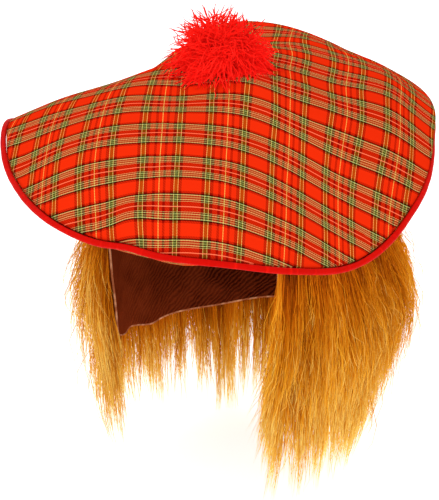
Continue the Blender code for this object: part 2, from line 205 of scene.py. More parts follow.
FIBRE_TAPER = 0.55  # share of its thickness that a fibre loses to its tip

# Pompom
POM_CENTRE = CROWN_SHIFT + Vector((10 * MM, -7 * MM, APEX_HEIGHT + SEAM_SPREAD + 5 * MM))
POM_RADIUS = 37 * MM
POM_HALF_HEIGHT = 25 * MM
POM_LOWEST = -0.34  # height of its lowest tufts, as a share of its half height
POM_CLEAR = 1.0 * MM
POM_STATIONS = 12
POM_SWIRL = 5 * MM  # how far a tuft bends to one side
POM_DROOP = 12 * MM  # how far the yarns round its foot sink
POM_CRINKLE = 0.5 * MM
# Where its longest yarns point, and how much longer they are
POM_SPRAYS = table(
    "x y z longer",
    (-0.5, 0.3, 0.9, 0.42), (0.4, -0.9, -0.3, 0.25), (-0.7, -0.7, -0.2, 0.15),
)

# Camera, from the photo's perspective
CAMERA_PLACE = Vector((0.5681, -1.0134, 0.620))
CAMERA_AIM = Vector((0.0268, -0.0759, -0.005))
LENS_MM = 140.6


# ---- shapes
def closed_curve(rows, name, azimuth):
    """Read a column of a closed table at any azimuths, as a smooth closed curve."""
    values = np.array([getattr(row, name) for row in rows], float)
    place = np.mod(azimuth, 360.0) * len(rows) / 360.0
    first = np.floor(place).astype(int)
    t = place - first
    p0, p1, p2, p3 = (values[(first + k) % len(rows)] for k in (-1, 0, 1, 2))
    return 0.5 * (2 * p1 + (p2 - p0) * t + (2 * p0 - 5 * p1 + 4 * p2 - p3) * t * t
                  + (3 * p1 - p0 - 3 * p2 + p3) * t ** 3)


def open_curve(rows, name, place):
    """Read a column of an open table between its rows, with smooth steps."""
    places = np.array([row[0] for row in rows], float)
    values = np.array([getattr(row, name) for row in rows], float)
    place = np.clip(place, places[0], places[-1])
    after = np.clip(np.searchsorted(places, place), 1, len(places) - 1)
    t = (place - places[after - 1]) / (places[after] - places[after - 1])
    t = t * t * (3 - 2 * t)
    return values[after - 1] * (1 - t) + values[after] * t


def plan(azimuth, radius_x, radius_y=None):
    """Plan direction of azimuths on a circle or an ellipse, as rows of x, y, z."""
    angle = np.radians(azimuth)
    radius_y = radius_x if radius_y is None else radius_y
    x = radius_x * np.sin(angle)
    y = -radius_y * np.cos(angle)
    return np.stack(np.broadcast_arrays(x, y, np.zeros_like(x)), -1)


def units(ways):
    """Directions of length 1."""
    return ways / np.maximum(np.linalg.norm(ways, axis=-1, keepdims=True), 1e-9)


def crown_drop(azimuth, cloth):
    """Drop of the crown at a length of cloth from its middle."""
    azimuth, cloth = np.broadcast_arrays(np.asarray(azimuth, float), np.asarray(cloth, float))
    knots = np.stack([np.zeros_like(azimuth)] + [closed_curve(CROWN_ROWS, name, azimuth)
                     for name in ("drop_40", "drop_80", "drop_120", "drop_160")])
    slopes = np.zeros_like(knots)
    slopes[1:4] = (knots[2:] - knots[:-2]) / 2
    slopes[4] = knots[4] - knots[3]
    place = np.minimum(cloth / (CROWN_RADIUS / 4), 3.9999)
    k = place.astype(int)
    t = place - k
    at = lambda rows, j: np.take_along_axis(rows, j[None], 0)[0]
    drop = ((1 + 2 * t) * (1 - t) ** 2 * at(knots, k) + t * (1 - t) ** 2 * at(slopes, k)
            + t * t * (3 - 2 * t) * at(knots, k + 1) + t * t * (t - 1) * at(slopes, k + 1))
    for dent in CROWN_DENTS:
        across = np.abs(np.mod(azimuth - dent.azimuth + 180.0, 360.0) - 180.0) / dent.spread
        along = (cloth / MM - dent.cloth) / dent.reach
        drop = drop + dent.depth * np.exp(-across ** 2 - along ** 2)
    return drop * MM


def crown_grid(azimuths, cloths):
    """Points of the crown's cloth, a row for each azimuth and a column for each cloth radius."""
    ds = CROWN_RADIUS / INTEGRAL_STEPS
    marks = np.arange(INTEGRAL_STEPS + 1) * ds
    dz = np.diff(crown_drop(azimuths[:, None], marks[None]), axis=1)
    reach = np.cumsum(np.sqrt(np.maximum(ds * ds - dz * dz, (LEAST_REACH * ds) ** 2)), axis=1)
    reach = np.concatenate([np.zeros((len(azimuths), 1)), reach], axis=1)
    reach *= (closed_curve(CROWN_ROWS, "rim_radius", azimuths) * MM / reach[:, -1])[:, None]
    radius = np.stack([np.interp(cloths, marks, row) for row in reach])
    points = plan(azimuths[:, None], radius)
    points += np.array(CROWN_SHIFT)
    points[..., 2] = APEX_HEIGHT - crown_drop(azimuths[:, None], cloths[None])
    return points


def rim_lip(azimuth):
    """Share of the lip at an azimuth: where the crown hangs over its piping."""
    return np.exp(-((azimuth - RIM_LIP_AZIMUTH) / RIM_LIP_SPREAD) ** 2)


def head_ring(azimuth, outset=0.0):
    """Points of the head opening, or of a ring parallel to it."""
    return plan(azimuth, HEAD_HALF_WIDTH + outset, HEAD_HALF_LENGTH + outset)


def strip_length(azimuth):
    """Length of the backing below its top, with its two lower corners rounded."""
    end = np.minimum(azimuth - BACKING_FROM, 360.0 - BACKING_FROM - azimuth)
    from_end = np.radians(np.maximum(end, 0.0)) * HEAD_HALF_LENGTH
    over = np.maximum(BACKING_CORNER - from_end, 0.0)
    corner = BACKING_CORNER - np.sqrt(np.maximum(BACKING_CORNER ** 2 - over ** 2, 0.0))
    return open_curve(STRIP_ROWS, "length", azimuth) * MM - corner


def strip_point(azimuth, depth, outset=0.0):
    """Points of the hanging strip, and of its line carried on below its hem."""
    length = open_curve(STRIP_ROWS, "length", azimuth) * MM
    lean = open_curve(STRIP_ROWS, "lean", azimuth) * MM
    t = np.clip(depth / length, 0.0, STRIP_LEAN_END)
    point = head_ring(azimuth, outset - lean * t ** STRIP_BOW)
    point[..., 2] = -depth
    return point


def spin(work, turn, steps):
    """Spin all that a bmesh holds about Z, and close it after a full turn."""
    bmesh.ops.spin(work, geom=list(work.verts) + list(work.edges), cent=(0, 0, 0), axis=(0, 0, 1),
                   angle=math.radians(turn), steps=steps, use_merge=turn >= 360.0,
                   use_duplicate=False)


def column_of(spot, steps, start=0.0, turn=360.0):
    """The column of a spun point, counted from the start of its spin."""
    azimuth = math.degrees(math.atan2(spot.x, -spot.y)) % 360.0
    if azimuth < start - 0.01:
        azimuth += 360.0
    return int(round((azimuth - start) / turn * steps)) % (steps if turn >= 360.0 else steps + 1)


def to_mesh(work, name):
    """Turn a bmesh into a named mesh."""
    mesh = bpy.data.meshes.new(name)
    work.to_mesh(mesh)
    work.free()
    return mesh


def spun_sheet(name, grid, cloth, start=0.0, turn=360.0):
    """Spin a row of points into a sheet, then put each point where the grid has it.

    grid and cloth hold a row for each azimuth and a column for each station: the places of the
    points, and their places on the flat cloth, which become the UV map.
    """
    columns, stations = grid.shape[:2]
    steps = columns if turn >= 360.0 else columns - 1
    work = bmesh.new()
    row = [work.verts.new((0, -(1 + k), 0)) for k in range(stations)]
    for pair in zip(row, row[1:]):
        work.edges.new(pair)
    bmesh.ops.rotate(work, verts=row, cent=(0, 0, 0),
                     matrix=Matrix.Rotation(math.radians(start), 3, "Z"))
    spin(work, turn, steps)
    uv_layer = work.loops.layers.uv.new("cloth")
    spots = {}
    for vert in work.verts:
        spots[vert] = column_of(vert.co, steps, start, turn), int(round(vert.co.length)) - 1
        vert.co = grid[spots[vert]]
    for face in work.faces:
        for loop in face.loops:
            loop[uv_layer].uv = cloth[spots[loop.vert]]
    bmesh.ops.remove_doubles(work, verts=work.verts, dist=1e-6)
    bmesh.ops.recalc_face_normals(work, faces=work.faces)
    return to_mesh(work, name)


def show(name, data):
    """Put new data into the scene as an object."""
    thing = bpy.data.objects.new(name, data)
    bpy.context.scene.collection.objects.link(thing)
    return thing


def new_piece(mesh, material, node):
    """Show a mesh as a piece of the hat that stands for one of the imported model's nodes."""
    mesh.materials.append(material)
    mesh.shade_smooth()
    piece = show(mesh.name, mesh)
    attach(piece, BODY)
    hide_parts(node)
    return piece


def thicken(piece, thickness, rim=0):
    """Give a sheet its thickness, with its cut edge in another of its materials."""
    solidify = piece.modifiers.new("Thickness", "SOLIDIFY")
    solidify.thickness = thickness
    solidify.offset = 0.0
    solidify.use_even_offset = True
    solidify.material_offset_rim = rim


def wander(points, scale, seed):
    """Smooth noise from -1 to 1 at rows of points."""
    shift = Vector((seed, 1.7 * seed, -2.3 * seed))
    flat = points.reshape(-1, 3)
    values = [noise.noise(Vector(point) / scale + shift) for point in flat]
    return np.array(values).reshape(points.shape[:-1])


# ---- fibres
ASKEW = np.array((0.31, 0.47, 0.83))  # hardly any fibre points this way


def fibre_mesh(name, paths, radii, tones, ends=1.0):
    """Join closed tapered fibres: copies of one cone, each bent along its own path.

    paths is fibres x stations x 3, with the last station the tip; radii is fibres x stations;
    the UV map holds a fibre's tone across and the place along it upwards, which is ends at its tip.
    """
    count, stations = paths.shape[:2]
    work = bmesh.new()
    bmesh.ops.create_cone(work, cap_ends=True, cap_tris=False, segments=FIBRE_SIDES, radius1=1.0,
                          radius2=0.0, depth=1.0, matrix=Matrix.Translation((0, 0, 0.5)))
    bmesh.ops.remove_doubles(work, verts=work.verts, dist=1e-5)
    slopes = [edge for edge in work.edges if abs(edge.verts[0].co.z - edge.verts[1].co.z) > 0.5]
    bmesh.ops.subdivide_edges(work, edges=slopes, cuts=stations - 2, use_grid_fill=True)
    work.verts.ensure_lookup_table()
    ring = np.array([int(round(v.co.z * (stations - 1))) for v in work.verts])
    angle = np.array([math.atan2(v.co.y, v.co.x) for v in work.verts])
    faces = [[v.index for v in face.verts] for face in work.faces]
    work.free()

    ahead = units(np.gradient(paths, axis=1))
    across = units(np.cross(ahead, ASKEW))
    up = np.cross(ahead, across)
    wide = radii.copy()
    wide[:, -1] = 0.0
    spots = (paths[:, ring] + (across[:, ring] * np.cos(angle)[:, None]
                               + up[:, ring] * np.sin(angle)[:, None]) * wide[:, ring, None])

    sizes = np.array([len(face) for face in faces])
    corners = np.concatenate(faces)
    points = len(ring)
    all_corners = (corners[None] + np.arange(count)[:, None] * points).ravel()
    all_sizes = np.tile(sizes, count)
    starts = np.concatenate([[0], np.cumsum(all_sizes)[:-1]])
    mesh = bpy.data.meshes.new(name)
    mesh.vertices.add(count * points)
    mesh.vertices.foreach_set("co", spots.reshape(-1).astype(np.float32))
    mesh.loops.add(len(all_corners))
    mesh.loops.foreach_set("vertex_index", all_corners.astype(np.int32))
    mesh.polygons.add(len(all_sizes))
    mesh.polygons.foreach_set("loop_start", starts.astype(np.int32))
    mesh.update(calc_edges=True)
    along = (ring / (stations - 1))[corners]
    ends = np.broadcast_to(ends, count)
    uv = np.stack([np.repeat(tones, len(corners)), np.outer(ends, along).ravel()], -1)
    layer = mesh.uv_layers.new(name="fibre")
    layer.uv.foreach_set("vector", uv.ravel().astype(np.float32))
    mesh.validate()
    return mesh


# ---- shader helpers
def math_node(operation, reflected=False):
    """Make a method of Value that adds one Math node."""
    def method(self, *others):
        values = (*others, self) if reflected else (self, *others)
        return self.surface.add("ShaderNodeMath", {"operation": operation},
                                dict(enumerate(values)))
    return method


class Value:
    """A socket that takes part in arithmetic: each operation adds a Math node."""

    def __init__(self, surface, socket):
        self.surface = surface
        self.socket = socket

    __add__ = __radd__ = math_node("ADD")
    __sub__ = math_node("SUBTRACT")
    __rsub__ = math_node("SUBTRACT", reflected=True)
    __mul__ = __rmul__ = math_node("MULTIPLY")
    __truediv__ = math_node("DIVIDE")
    fract = math_node("FRACT")
    floor = math_node("FLOOR")
    size = math_node("ABSOLUTE")
    sine = math_node("SINE")
    lesser = math_node("MINIMUM")
    greater = math_node("MAXIMUM")

    def clamped(self):
        return self.lesser(1.0).greater(0.0)


class Surface:
    """A material's node tree, with one method that adds any node."""

    def __init__(self, name):
        self.material = bpy.data.materials.new(name)
        self.material.use_nodes = True
        self.tree = self.material.node_tree
        self.shader = self.tree.nodes["Principled BSDF"]

    def add(self, kind, settings, sockets, *outputs):
        """Add a node: its settings, then its sockets. Give the outputs that are asked for."""
        node = self.tree.nodes.new(kind)
        for key, value in settings.items():
            if key == "stops":
                self.set_stops(node.color_ramp, *value)
            else:
                setattr(node, key, value)
        self.feed(node, sockets)
        values = [Value(self, node.outputs[output]) for output in outputs or (0,)]
        return values if len(values) > 1 else values[0]

    def set_stops(self, ramp, stops, interpolation):
        ramp.interpolation = interpolation
        while len(ramp.elements) < len(stops):
            ramp.elements.new(1.0)
        for element, (place, colour) in zip(ramp.elements, stops):
            element.position = place
            element.color = (*colour, 1.0)[:4]

    def feed(self, node, sockets):
        """Link values to a node's sockets, or set the sockets' own numbers and colours."""
        for key, value in sockets.items():
            socket = node.inputs[key]
            if isinstance(value, Value):
                self.tree.links.new(value.socket, socket)
            elif socket.type == "RGBA":
                socket.default_value = (*value[:3], 1.0)
            else:
                socket.default_value = value

    def mix(self, factor, one, other, blend="MIX"):
        """Mix two colours; the node keeps its factor from 0 to 1."""
        return self.add("ShaderNodeMix", {"data_type": "RGBA", "blend_type": blend},
                        {0: factor, 6: one, 7: other}, 2)

    def ramp(self, factor, stops, interpolation="LINEAR"):
        """Colour and alpha of a ramp. A stop is a place and a colour, with or without alpha."""
        return self.add("ShaderNodeValToRGB", {"stops": (stops, interpolation)}, {"Fac": factor},
                        "Color", "Alpha")

    def noise(self, scale, detail, roughness=0.5, vector=None):
        """Noise from 0 to 1 about 0.5, on the piece's own coordinates if no vector is given."""
        vector = vector or self.add("ShaderNodeTexCoord", {}, {}, "Object")
        return self.add("ShaderNodeTexNoise", {}, {
            "Vector": vector, "Scale": scale, "Detail": detail, "Roughness": roughness})

    def uv(self, name):
        """Both coordinates of a UV map."""
        spot = self.add("ShaderNodeUVMap", {"uv_map": name}, {})
        return self.add("ShaderNodeSeparateXYZ", {}, {0: spot}, "X", "Y")

    def join(self, x, y):
        """A vector of two coordinates."""
        return self.add("ShaderNodeCombineXYZ", {}, {"X": x, "Y": y})

    def bump(self, height, distance, strength, under=None):
        """A bump, over another one if that is given."""
        sockets = {"Height": height, "Distance": distance, "Strength": strength}
        if under:
            sockets["Normal"] = under
        return self.add("ShaderNodeBump", {}, sockets)

    def finish(self, colour, roughness, normal=None, **constants):
        """Feed the shader, and set its constant sockets."""
        sockets = {"Base Color": colour, "Roughness": roughness}
        if normal:
            sockets["Normal"] = normal
        for key, value in constants.items():
            sockets[key.replace("_", " ")] = value
        self.feed(self.shader, sockets)
        return self.material


def linear(red, green, blue):
    """A colour given as it shows on a screen, 0 to 255, as linear light."""
    def one(value):
        value /= 255
        return value / 12.92 if value <= 0.04045 else ((value + 0.055) / 1.055) ** 2.4
    return one(red), one(green), one(blue)


# ---- settings
def length_property(name, description, default):
    return FloatProperty(name=name, description=description, default=default, min=0.0,
                         subtype="DISTANCE", unit="LENGTH", precision=4)


def colour_property(name, description, *default):
    return FloatVectorProperty(name=name, description=description, default=linear(*default),
                               size=3, min=0.0, max=1.0, subtype="COLOR")


def count_property(name, description, default):
    return IntProperty(name=name, description=description, default=default, min=1)


def light_property(name, description, default):
    return FloatProperty(name=name, description=description, default=default, min=0.0)


class TamTartanSettings(bpy.types.PropertyGroup):
    """The tartan's repeat and its yarns."""
    warp_repeat: length_property("Warp repeat", "Width of one repeat across the cloth", 40 * MM)
    weft_repeat: length_property("Weft repeat", "Length of one repeat along the cloth", 26.7 * MM)
    red: colour_property("Red", "Ground colour", 226, 42, 9)
    crimson: colour_property("Crimson", "Darker red beside the bands", 142, 13, 4)
    maroon: colour_property("Maroon", "Dark red lines along the cloth", 120, 22, 5)
    yellow: colour_property("Yellow", "Fine lines along the cloth", 255, 216, 96)
    gold: colour_property("Gold", "Fine double lines along the cloth", 255, 224, 112)
    green: colour_property("Green", "Green yarn between two fine lines", 96, 78, 8)
    pale: colour_property("Pale", "Fine pale lines in the bands", 196, 216, 132)
    silver: colour_property("Silver", "Grey-green middle of the bands", 138, 152, 88)
    olive: colour_property("Olive", "Dark lines in the bands", 26, 38, 14)
    rose: colour_property("Rose", "Fine line between two bands", 255, 124, 84)
    black: colour_property("Black", "Dark line beside each band", 22, 8, 4)


class TamTrimSettings(bpy.types.PropertyGroup):
    """Piping and hair backing."""
    piping_radius: length_property("Piping radius", "Half the thickness of the piping", 2.0 * MM)
    piping_colour: colour_property("Piping", "Satin red", 216, 12, 2)
    backing_thickness: length_property("Backing", "Thickness of the backing", 1.5 * MM)
    backing_colour: colour_property("Backing colour", "Dark brown knit", 142, 58, 25)
    edge_colour: colour_property("Cut edge", "Pale raw edge of the backing", 190, 118, 76)


class TamHairSettings(bpy.types.PropertyGroup):
    """The long hair."""
    fibres: count_property("Fibres", "Number of fibres", 22000)
    locks: count_property("Locks", "Fine locks that they gather in", 1500)
    tassels: count_property("Tassels", "Broad groups that the tips gather in", 40)
    radius: length_property("Fibre radius", "Half a fibre's thickness at its root", 0.24 * MM)
    root: colour_property("Root", "Colour at the root", 156, 68, 4)
    body: colour_property("Body", "Main colour", 222, 132, 10)
    tip: colour_property("Tip", "Colour at the tip", 255, 232, 140)


class TamPompomSettings(bpy.types.PropertyGroup):
    """The yarn pompom."""
    tufts: count_property("Tufts", "Number of tufts", 66)
    yarns: count_property("Yarns", "Yarns in a tuft", 17)
    radius: length_property("Yarn radius", "Half a yarn's thickness", 0.58 * MM)
    colour: colour_property("Yarn", "Bright red", 255, 30, 20)
    shade: colour_property("Shade", "Red in the gaps", 190, 2, 2)


class TamStageSettings(bpy.types.PropertyGroup):
    """Floor, lights and camera."""
    floor_width: length_property("Floor", "Width of the pale floor", 14.0)
    floor_glow: light_property("Floor glow", "Light from below the paper", 0.6)
    world: light_property("Sky", "Strength of the soft surrounding light", 0.86)
    key: light_property("Key light", "Power of the main light in watts", 8.6)
    fill: light_property("Fill light", "Power of the second light in watts", 3.0)


# ---- materials
# Half setts from the middle of one fine line, in half threads; cover is the share of the face
# that the yarn takes
WARP_SETT = table(
    "threads colour cover",
    (1.2, "yellow", 0.46), (10.8, "red"), (8, "crimson"), (15, "red"), (10.5, "maroon"),
    (1.7, "gold"), (11.1, "green"), (1.7, "gold"), (10, "maroon"), (30, "red"),
    defaults=(0.5,),
)
WEFT_SETT = table(
    "threads colour cover",
    (1.3, "rose", 0.80), (14, "crimson"), (1.1, "pale"), (4, "olive"), (2, "pale"),
    (4, "olive"), (4, "silver"), (4, "olive"), (2.6, "pale"), (4.5, "black", 0.8),
    (6, "crimson"), (18.5, "red"),
    defaults=(0.5,),
)
WARP_START, WEFT_START = -0.23, 0.9  # repeats by which the tartan is moved on the crown
UNDERSIDE_START = 0.31, 0.4  # and further on the underside


def sett_stops(sett, colours):
    """Ramp stops of a whole repeat: the half sett, then its mirror image."""
    total = 2 * sum(stripe.threads for stripe in sett)
    stops = []
    place = 0
    for stripe in sett + sett[::-1]:
        colour = (*getattr(colours, stripe.colour), stripe.cover)
        if not stops or colour != stops[-1][1]:
            stops.append((place / total, colour))
        place += stripe.threads
    return stops


def yarn_height(thread):
    """Round profile of the yarns, from a coordinate that counts them."""
    across = (thread.fract() - 0.5).size() * 2.0
    return 1.0 - across * across


def tartan_material(name, settings, start=(0.0, 0.0)):
    """Woven tartan on the flat cloth's own coordinates."""
    cloth = Surface(name)
    x, y = cloth.uv("cloth")
    waver = cloth.noise(60.0, 2.0) - 0.5
    u = (x - 0.5) * (CLOTH_SPAN / settings.warp_repeat) + WARP_START + waver * 0.010 + start[0]
    v = (y - 0.5) * (CLOTH_SPAN / settings.weft_repeat) + WEFT_START + waver * 0.014 + start[1]
    warp, warp_cover = cloth.ramp(u.fract(), sett_stops(WARP_SETT, settings), "CONSTANT")
    weft, weft_cover = cloth.ramp(v.fract(), sett_stops(WEFT_SETT, settings), "CONSTANT")
    warp_thread = u * sum(stripe.threads for stripe in WARP_SETT)
    weft_thread = v * sum(stripe.threads for stripe in WEFT_SETT)
    twill = ((warp_thread.floor() + weft_thread.floor()) / 4.0).fract()
    # the yarn with the larger cover lies on top more often
    lead = weft_cover - warp_cover + 0.5
    top = ((lead - twill) * 8.0).clamped()
    colour = cloth.mix(top * 0.3 + lead * 0.7, warp, weft)
    patch = cloth.noise(38.0, 3.0)
    fleck = cloth.noise(1.0, 2.0, vector=cloth.join(warp_thread * 0.9, weft_thread * 0.22))
    streak = cloth.noise(1.0, 3.0, vector=cloth.join(u * 26.0, v * 1.2))
    shade = (0.84 + 0.10 * patch + 0.12 * fleck + 0.22 * streak).clamped()
    grey = cloth.add("ShaderNodeCombineColor", {}, {0: shade, 1: shade, 2: shade})
    colour = cloth.mix(1.0, colour, grey, "MULTIPLY")
    height = (yarn_height(warp_thread) * (1.0 - top * 0.8)
              + yarn_height(weft_thread) * (top * 0.8 + 0.2))
    weave = cloth.bump(height, 0.10 * MM, 0.35)
    normal = cloth.bump(cloth.noise(75.0, 3.0, 0.55), 0.8 * MM, 0.45, weave)
    return cloth.finish(colour, 0.74 + 0.16 * fleck, normal, Specular_IOR_Level=0.0)


def piping_material(settings):
    """Satin bias tape, pulled round a cord: fine slanting threads and small puckers."""
    satin = Surface("satin_piping")
    x, y = satin.uv("cloth")
    thread = (x * 5200.0 + y * 34.0).sine()
    pucker = satin.noise(0.32, 3.0, vector=satin.join(x * 900.0, y * 3.0))
    patch = satin.noise(55.0, 2.0)
    # the red darkens and brightens with the puckers: painted shade and painted sheen of their folds,
    # with some tone that differs at random
    colour = satin.mix(patch * 0.5 + pucker * 0.5, settings.piping_colour, linear(168, 4, 0))
    colour = satin.mix((pucker - 0.55) * 3.0, colour, linear(236, 20, 4))
    normal = satin.bump(pucker, 0.7 * MM, 0.55, satin.bump(thread, 0.06 * MM, 0.25))
    return satin.finish(colour, 0.44 + 0.18 * patch, normal, Specular_IOR_Level=0.03)


def backing_materials(settings):
    """Brown warp knit with slanting ribs, and its pale cut edge."""
    knit = Surface("fleece_backing")
    x, y = knit.uv("cloth")
    waver = knit.noise(120.0, 3.0)
    slant = x * (BACKING_SPAN * 0.545) - y * (DEPTH_SPAN * 0.839)
    rib = (slant * (6.283 / RIB_WIDTH) + waver * 14.0).sine() * 0.5 + 0.5
    fuzz = knit.noise(900.0, 4.0, 0.65)
    patch = knit.noise(45.0, 3.0)
    # painted light: the backing's face is lighter over the last third of the strip, towards the
    # wearer's right
    right = ((x - 0.66) * 3.0).clamped()
    colour = knit.mix(rib * 0.5 + fuzz * 0.8 + right * 0.55 - 0.45, linear(60, 16, 4),
                      settings.backing_colour)
    colour = knit.mix((patch - 0.5) * 1.6 + right * 0.4, colour, linear(156, 66, 32))
    normal = knit.bump(fuzz, 0.9 * MM, 0.8, knit.bump(rib, 0.6 * MM, 0.6))
    inner = knit.finish(colour, 0.93, normal, Specular_IOR_Level=0.0)
    edge = Surface("backing_cut_edge")
    speck = edge.noise(700.0, 3.0, 0.6)
    patch = edge.noise(150.0, 2.0)
    shade = edge.mix(speck, settings.backing_colour, settings.edge_colour)
    shade = edge.mix((patch - 0.45) * 4.0, shade, linear(232, 170, 124))
    rough = edge.bump(speck, 0.8 * MM, 0.8)
    return inner, edge.finish(shade, 0.95, rough, Specular_IOR_Level=0.1)


def shades(*stops):
    """Ramp stops from rows of a place and a colour as it shows on a screen."""
    return [(place, linear(*colour)) for place, *colour in stops]


def hair_material(name, settings):
    """Ginger fibre: dark at the root, partly painted shade there, golden along it and pale at the
    tip, with a painted glow.
    """
    hair = Surface(name)
    tone, along = hair.uv("fibre")
    # darker at the root: partly the fibre's own colour, partly painted shade under the pile and the
    # rim
    colour, _ = hair.ramp(along, (
        (0.0, settings.root), (0.16, linear(212, 108, 6)), (0.42, settings.body),
        (0.66, linear(230, 158, 34)), (0.80, linear(238, 204, 106)), (1.0, settings.tip)))
    deep, _ = hair.ramp(along, shades(
        (0.0, 90, 32, 2), (0.3, 150, 64, 2), (0.66, 204, 122, 12),
        (0.84, 224, 176, 68), (1.0, 244, 212, 116)))
    light, _ = hair.ramp(along, shades(
        (0.0, 200, 104, 10), (0.3, 240, 156, 28), (0.66, 244, 182, 50),
        (0.84, 248, 212, 110), (1.0, 255, 238, 160)))
    colour = hair.mix((0.5 - tone) * 2.0, colour, deep)
    colour = hair.mix((tone - 0.5) * 2.0, colour, light)
    # painted glow: all the hair gives off a little light of its own colour, lifting its shade, and
    # more towards the tips, standing in for light through thin tips
    glow = hair.mix(((along - 0.6) * 2.0).clamped() * 0.65 + 0.22, (0.0, 0.0, 0.0), colour)
    return hair.finish(colour, 0.5 + 0.2 * tone, Specular_IOR_Level=0.03, Emission_Color=glow,
                       Emission_Strength=0.52)


def yarn_material(settings):
    """Bright red acrylic yarn, a little darker towards the pompom's middle as painted shade, and with
    a painted glow.
    """
    yarn = Surface("yarn")
    tone, along = yarn.uv("fibre")
    twist = (along * 95.0 + tone * 40.0).sine() * 0.5 + 0.5
    fuzz = yarn.noise(1300.0, 3.0, 0.6)
    # painted shade: the yarn is darker towards its root, deep in the pompom
    colour = yarn.mix(along * 1.5 - 0.1, settings.shade, settings.colour)
    colour = yarn.mix(tone * 0.35, colour, settings.shade)
    colour = yarn.mix(((along - 0.93) * 12.0).clamped() * 0.5, colour, linear(120, 10, 8))
    colour = yarn.mix(twist * fuzz * 0.4, colour, linear(255, 60, 44))
    normal = yarn.bump(fuzz, 0.4 * MM, 0.6, yarn.bump(twist, 0.3 * MM, 0.5))
    # painted glow: the yarn gives off light of its own colour, lifting the pompom's shade
    return yarn.finish(colour, 0.8, normal, Specular_IOR_Level=0.03, Emission_Color=colour,
                       Emission_Strength=0.20)


# ---- operators
def tartan_piece(name, node, material, grid, azimuths, radii):
    """Make a sheet of tartan; azimuths and radii are the grid's places on the flat round."""
    cloth = 0.5 + plan(azimuths[:, None], radii[None])[..., :2] / CLOTH_SPAN
    piece = new_piece(spun_sheet(name, grid, cloth), material, node)
    thicken(piece, CLOTH)
    return piece


def make_crown(tartan):
    """Drape the crown, wavy and puckered at its rim, with the lip over its piping."""
    cloths = CROWN_RADIUS * np.arange(CROWN_RINGS + 1) / CROWN_RINGS
    grid = crown_grid(RIM_AZIMUTHS, cloths)
    share = (cloths / CROWN_RADIUS)[None]
    slack = 0.35 + 0.65 * share  # the cloth lies closer in the middle
    grid[..., 2] += SEAM_SPREAD + wander(grid, 48 * MM, seed=3.0) * CROWN_WAVER * slack
    at_rim = np.clip((share - NEAR_RIM) / PUCKER_RISE, 0, 1)
    at_rim *= np.clip((1 - share) / PUCKER_FALL, 0, 1)
    pucker = wander(plan(RIM_AZIMUTHS, 1.0), 0.035, seed=9.0)[:, None]
    grid[..., 2] += pucker * at_rim * CROWN_WAVER
    over_rim = np.clip((share - NEAR_RIM) / (1 - NEAR_RIM), 0, 1)
    grid += plan(RIM_AZIMUTHS[:, None], rim_lip(RIM_AZIMUTHS)[:, None] * over_rim * RIM_LIP)
    turned = RIM_AZIMUTHS - GRAIN_AZIMUTH
    for _ in range(GRAIN_PASSES):
        turned = RIM_AZIMUTHS - GRAIN_AZIMUTH + closed_curve(GRAIN_ROWS, "turn", turned)
    return tartan_piece("crown_tartan", "crown",
                        tartan_material("tartan_crown", tartan), grid, turned, cloths)


def make_underside(tartan):
    """Gather the underside from the rim in to the head opening."""
    t = np.arange(BRIM_RINGS + 1) / BRIM_RINGS
    rim = crown_grid(RIM_AZIMUTHS, np.array([CROWN_RADIUS]))
    grid = rim + (head_ring(RIM_AZIMUTHS)[:, None] - rim) * t[None, :, None]
    arch = 4 * t * (1 - t)
    ripple = np.cos(np.radians(RIM_AZIMUTHS) * BRIM_RIPPLES)[:, None] * BRIM_RIPPLE * arch
    gather = wander(plan(RIM_AZIMUTHS, 1.0), 0.05, seed=4.0)[:, None] * (t ** 2 * (1 - t) * 4)
    grid[..., 2] += ripple + gather * BRIM_GATHER - BRIM_SAG * arch - SEAM_SPREAD * (1 - t)
    radii = CROWN_RADIUS + (HEAD_HALF_WIDTH - CROWN_RADIUS) * t
    return tartan_piece("underside_tartan", "under_brim",
                        tartan_material("tartan_underside", tartan, UNDERSIDE_START), grid,
                        RIM_AZIMUTHS, radii)


